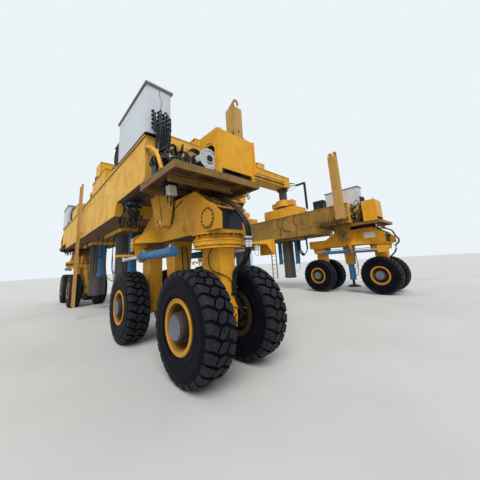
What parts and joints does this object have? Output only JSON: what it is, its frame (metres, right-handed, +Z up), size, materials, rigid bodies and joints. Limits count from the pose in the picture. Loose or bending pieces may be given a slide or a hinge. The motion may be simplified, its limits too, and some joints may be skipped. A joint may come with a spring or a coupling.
{
  "type": "rubber tyred gantry crane",
  "caption": "Self-propelled straddle gantry: side beams on rocker bogies with slewing twin-wheel legs, and crossbeams raised by hydraulic columns.",
  "frame": {"origin": "on the ground under the middle of the crane, halfway between the two side beams and between the two crossbeams", "axes": "+X across the crane towards the right-hand side beam, +Y along the side beams, +Z up"},
  "size_m": [11.74, 15.9798, 7.3],
  "materials": {
    "yellow_paint": "worn gloss",
    "tyre_rubber": "matte",
    "blue_paint": "worn gloss",
    "grey_steel": "weathered",
    "bright_steel": "satin",
    "chrome_rod": "polished",
    "grey_cabinet": "satin",
    "dark_cabinet": "satin",
    "black_machinery": "oily"
  },
  "bodies": {
    "frame": {"side_beam_left": "yellow_paint", "side_beam_right": "yellow_paint", "end_decks": "yellow_paint", "pump_housings": "yellow_paint", "power_packs": "black_machinery", "electric_cabinets": "grey_cabinet", "cooling_units": "dark_cabinet", "hook_posts": "yellow_paint", "ladders": "yellow_paint", "guide_tubes": "grey_steel", "lifting_cylinders": "blue_paint"},
    "near_lift": {"near_crossbeam": "yellow_paint", "near_lifting_columns": "bright_steel"},
    "far_lift": {"far_crossbeam": "yellow_paint", "far_lifting_columns": "bright_steel"},
    "bogie_near_left": {"rocker_near_left": "yellow_paint", "cylinders_near_left": "blue_paint"},
    "jack_near_left": {"jack_foot_near_left": "black_machinery"},
    "outer_leg_near_left": {"outer_leg_near_left": "yellow_paint"},
    "outer_rod_near_left": {"outer_steering_rod_near_left": "chrome_rod"},
    "outer_wheels_near_left": {"outer_tyres_near_left": "tyre_rubber", "outer_axle_near_left": "yellow_paint"},
    "inner_leg_near_left": {"inner_leg_near_left": "yellow_paint"},
    "inner_rod_near_left": {"inner_steering_rod_near_left": "chrome_rod"},
    "inner_wheels_near_left": {"inner_tyres_near_left": "tyre_rubber", "inner_axle_near_left": "yellow_paint"},
    "bogie_near_right": {"rocker_near_right": "yellow_paint", "cylinders_near_right": "blue_paint"},
    "jack_near_right": {"jack_foot_near_right": "black_machinery"},
    "outer_leg_near_right": {"outer_leg_near_right": "yellow_paint"},
    "outer_rod_near_right": {"outer_steering_rod_near_right": "chrome_rod"},
    "outer_wheels_near_right": {"outer_tyres_near_right": "tyre_rubber", "outer_axle_near_right": "yellow_paint"},
    "inner_leg_near_right": {"inner_leg_near_right": "yellow_paint"},
    "inner_rod_near_right": {"inner_steering_rod_near_right": "chrome_rod"},
    "inner_wheels_near_right": {"inner_tyres_near_right": "tyre_rubber", "inner_axle_near_right": "yellow_paint"},
    "bogie_far_left": {"rocker_far_left": "yellow_paint", "cylinders_far_left": "blue_paint"},
    "jack_far_left": {"jack_foot_far_left": "black_machinery"},
    "outer_leg_far_left": {"outer_leg_far_left": "yellow_paint"},
    "outer_rod_far_left": {"outer_steering_rod_far_left": "chrome_rod"},
    "outer_wheels_far_left": {"outer_tyres_far_left": "tyre_rubber", "outer_axle_far_left": "yellow_paint"},
    "inner_leg_far_left": {"inner_leg_far_left": "yellow_paint"},
    "inner_rod_far_left": {"inner_steering_rod_far_left": "chrome_rod"},
    "inner_wheels_far_left": {"inner_tyres_far_left": "tyre_rubber", "inner_axle_far_left": "yellow_paint"},
    "bogie_far_right": {"rocker_far_right": "yellow_paint", "cylinders_far_right": "blue_paint"},
    "jack_far_right": {"jack_foot_far_right": "black_machinery"},
    "outer_leg_far_right": {"outer_leg_far_right": "yellow_paint"},
    "outer_rod_far_right": {"outer_steering_rod_far_right": "chrome_rod"},
    "outer_wheels_far_right": {"outer_tyres_far_right": "tyre_rubber", "outer_axle_far_right": "yellow_paint"},
    "inner_leg_far_right": {"inner_leg_far_right": "yellow_paint"},
    "inner_rod_far_right": {"inner_steering_rod_far_right": "chrome_rod"},
    "inner_wheels_far_right": {"inner_tyres_far_right": "tyre_rubber", "inner_axle_far_right": "yellow_paint"}
  },
  "joints": [
    {"name": "near_crossbeam_lift", "type": "slide", "parent": "frame", "child": "near_lift", "axis": [0, 0, 1], "range_m": [-0.15, 1.8]},
    {"name": "far_crossbeam_lift", "type": "slide", "parent": "frame", "child": "far_lift", "axis": [0, 0, 1], "range_m": [-0.15, 1.8]},
    {"name": "rock_near_left", "type": "hinge", "parent": "frame", "child": "bogie_near_left", "pos_m": [-4.725, -5.74, 2.7], "axis": [1, 0, 0], "range_deg": [-3, 3]},
    {"name": "jack_near_left", "type": "slide", "parent": "bogie_near_left", "child": "jack_near_left", "axis": [0, 0, -1], "range_m": [0, 0.225]},
    {"name": "steer_outer_near_left", "type": "hinge", "parent": "bogie_near_left", "child": "outer_leg_near_left", "pos_m": [-4.725, -7.18, 1.9], "axis": [0, 0, 1], "range_deg": [-30, 30]},
    {"name": "rod_outer_near_left", "type": "slide", "parent": "bogie_near_left", "child": "outer_rod_near_left", "axis": [0, 1, 0], "range_m": [-0.36, 0.36]},
    {"name": "spin_outer_near_left", "type": "hinge", "parent": "outer_leg_near_left", "child": "outer_wheels_near_left", "pos_m": [-4.725, -7.18, 0.81], "axis": [1, 0, 0], "continuous": true},
    {"name": "steer_inner_near_left", "type": "hinge", "parent": "bogie_near_left", "child": "inner_leg_near_left", "pos_m": [-4.725, -4.3, 1.9], "axis": [0, 0, 1], "range_deg": [-30, 30]},
    {"name": "rod_inner_near_left", "type": "slide", "parent": "bogie_near_left", "child": "inner_rod_near_left", "axis": [0, 1, 0], "range_m": [-0.36, 0.36]},
    {"name": "spin_inner_near_left", "type": "hinge", "parent": "inner_leg_near_left", "child": "inner_wheels_near_left", "pos_m": [-4.725, -4.3, 0.81], "axis": [1, 0, 0], "continuous": true},
    {"name": "rock_near_right", "type": "hinge", "parent": "frame", "child": "bogie_near_right", "pos_m": [4.725, -5.74, 2.7], "axis": [1, 0, 0], "range_deg": [-3, 3]},
    {"name": "jack_near_right", "type": "slide", "parent": "bogie_near_right", "child": "jack_near_right", "axis": [0, 0, -1], "range_m": [0, 0.225]},
    {"name": "steer_outer_near_right", "type": "hinge", "parent": "bogie_near_right", "child": "outer_leg_near_right", "pos_m": [4.725, -7.18, 1.9], "axis": [0, 0, 1], "range_deg": [-30, 30]},
    {"name": "rod_outer_near_right", "type": "slide", "parent": "bogie_near_right", "child": "outer_rod_near_right", "axis": [0, 1, 0], "range_m": [-0.36, 0.36]},
    {"name": "spin_outer_near_right", "type": "hinge", "parent": "outer_leg_near_right", "child": "outer_wheels_near_right", "pos_m": [4.725, -7.18, 0.81], "axis": [1, 0, 0], "continuous": true},
    {"name": "steer_inner_near_right", "type": "hinge", "parent": "bogie_near_right", "child": "inner_leg_near_right", "pos_m": [4.725, -4.3, 1.9], "axis": [0, 0, 1], "range_deg": [-30, 30]},
    {"name": "rod_inner_near_right", "type": "slide", "parent": "bogie_near_right", "child": "inner_rod_near_right", "axis": [0, 1, 0], "range_m": [-0.36, 0.36]},
    {"name": "spin_inner_near_right", "type": "hinge", "parent": "inner_leg_near_right", "child": "inner_wheels_near_right", "pos_m": [4.725, -4.3, 0.81], "axis": [1, 0, 0], "continuous": true},
    {"name": "rock_far_left", "type": "hinge", "parent": "frame", "child": "bogie_far_left", "pos_m": [-4.725, 5.74, 2.7], "axis": [1, 0, 0], "range_deg": [-3, 3]},
    {"name": "jack_far_left", "type": "slide", "parent": "bogie_far_left", "child": "jack_far_left", "axis": [0, 0, -1], "range_m": [0, 0.225]},
    {"name": "steer_outer_far_left", "type": "hinge", "parent": "bogie_far_left", "child": "outer_leg_far_left", "pos_m": [-4.725, 7.18, 1.9], "axis": [0, 0, 1], "range_deg": [-30, 30]},
    {"name": "rod_outer_far_left", "type": "slide", "parent": "bogie_far_left", "child": "outer_rod_far_left", "axis": [0, 1, 0], "range_m": [-0.36, 0.36]},
    {"name": "spin_outer_far_left", "type": "hinge", "parent": "outer_leg_far_left", "child": "outer_wheels_far_left", "pos_m": [-4.725, 7.18, 0.81], "axis": [1, 0, 0], "continuous": true},
    {"name": "steer_inner_far_left", "type": "hinge", "parent": "bogie_far_left", "child": "inner_leg_far_left", "pos_m": [-4.725, 4.3, 1.9], "axis": [0, 0, 1], "range_deg": [-30, 30]},
    {"name": "rod_inner_far_left", "type": "slide", "parent": "bogie_far_left", "child": "inner_rod_far_left", "axis": [0, 1, 0], "range_m": [-0.36, 0.36]},
    {"name": "spin_inner_far_left", "type": "hinge", "parent": "inner_leg_far_left", "child": "inner_wheels_far_left", "pos_m": [-4.725, 4.3, 0.81], "axis": [1, 0, 0], "continuous": true},
    {"name": "rock_far_right", "type": "hinge", "parent": "frame", "child": "bogie_far_right", "pos_m": [4.725, 5.74, 2.7], "axis": [1, 0, 0], "range_deg": [-3, 3]},
    {"name": "jack_far_right", "type": "slide", "parent": "bogie_far_right", "child": "jack_far_right", "axis": [0, 0, -1], "range_m": [0, 0.225]},
    {"name": "steer_outer_far_right", "type": "hinge", "parent": "bogie_far_right", "child": "outer_leg_far_right", "pos_m": [4.725, 7.18, 1.9], "axis": [0, 0, 1], "range_deg": [-30, 30]},
    {"name": "rod_outer_far_right", "type": "slide", "parent": "bogie_far_right", "child": "outer_rod_far_right", "axis": [0, 1, 0], "range_m": [-0.36, 0.36]},
    {"name": "spin_outer_far_right", "type": "hinge", "parent": "outer_leg_far_right", "child": "outer_wheels_far_right", "pos_m": [4.725, 7.18, 0.81], "axis": [1, 0, 0], "continuous": true},
    {"name": "steer_inner_far_right", "type": "hinge", "parent": "bogie_far_right", "child": "inner_leg_far_right", "pos_m": [4.725, 4.3, 1.9], "axis": [0, 0, 1], "range_deg": [-30, 30]},
    {"name": "rod_inner_far_right", "type": "slide", "parent": "bogie_far_right", "child": "inner_rod_far_right", "axis": [0, 1, 0], "range_m": [-0.36, 0.36]},
    {"name": "spin_inner_far_right", "type": "hinge", "parent": "inner_leg_far_right", "child": "inner_wheels_far_right", "pos_m": [4.725, 4.3, 0.81], "axis": [1, 0, 0], "continuous": true}
  ],
  "couplings": [
    {"joint": "rod_outer_near_left", "follows": "steer_outer_near_left", "m_per_rad": 0.66},
    {"joint": "rod_inner_near_left", "follows": "steer_inner_near_left", "m_per_rad": -0.66},
    {"joint": "rod_outer_near_right", "follows": "steer_outer_near_right", "m_per_rad": -0.66},
    {"joint": "rod_inner_near_right", "follows": "steer_inner_near_right", "m_per_rad": 0.66},
    {"joint": "rod_outer_far_left", "follows": "steer_outer_far_left", "m_per_rad": 0.66},
    {"joint": "rod_inner_far_left", "follows": "steer_inner_far_left", "m_per_rad": -0.66},
    {"joint": "rod_outer_far_right", "follows": "steer_outer_far_right", "m_per_rad": -0.66},
    {"joint": "rod_inner_far_right", "follows": "steer_inner_far_right", "m_per_rad": 0.66}
  ]
}
